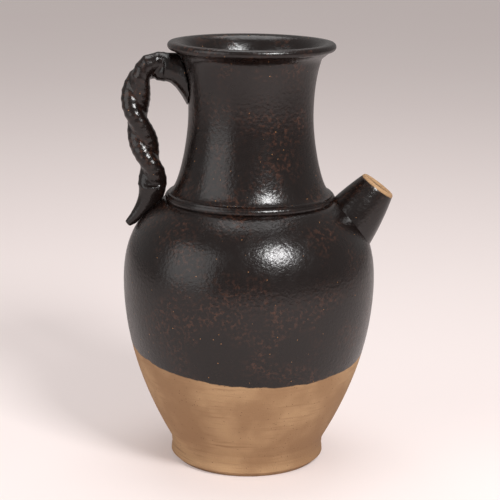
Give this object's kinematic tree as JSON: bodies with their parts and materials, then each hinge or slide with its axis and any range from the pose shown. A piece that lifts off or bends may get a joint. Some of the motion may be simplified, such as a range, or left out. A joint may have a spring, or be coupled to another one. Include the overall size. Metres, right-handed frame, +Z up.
{
  "type": "ewer",
  "caption": "Thrown stoneware ewer with a flared collar neck, twisted strand handle, short tapered spout and turned foot.",
  "frame": {"origin": "centre of the flat underside of the foot", "axes": "+Z up along the turning axis, +X towards the spout, -X towards the handle"},
  "size_m": [0.1664, 0.1548, 0.26],
  "materials": {
    "bare_stoneware": "unglazed stoneware, turned, fine grit",
    "dark_glaze": "dark brown iron glaze, semi-gloss"
  },
  "bodies": {
    "root": {"body": "bare_stoneware", "neck": "dark_glaze", "spout": "dark_glaze", "handle_strand_outer": "dark_glaze", "handle_strand_inner": "dark_glaze", "handle_root": "dark_glaze", "handle_tail": "dark_glaze"}
  },
  "joints": []
}
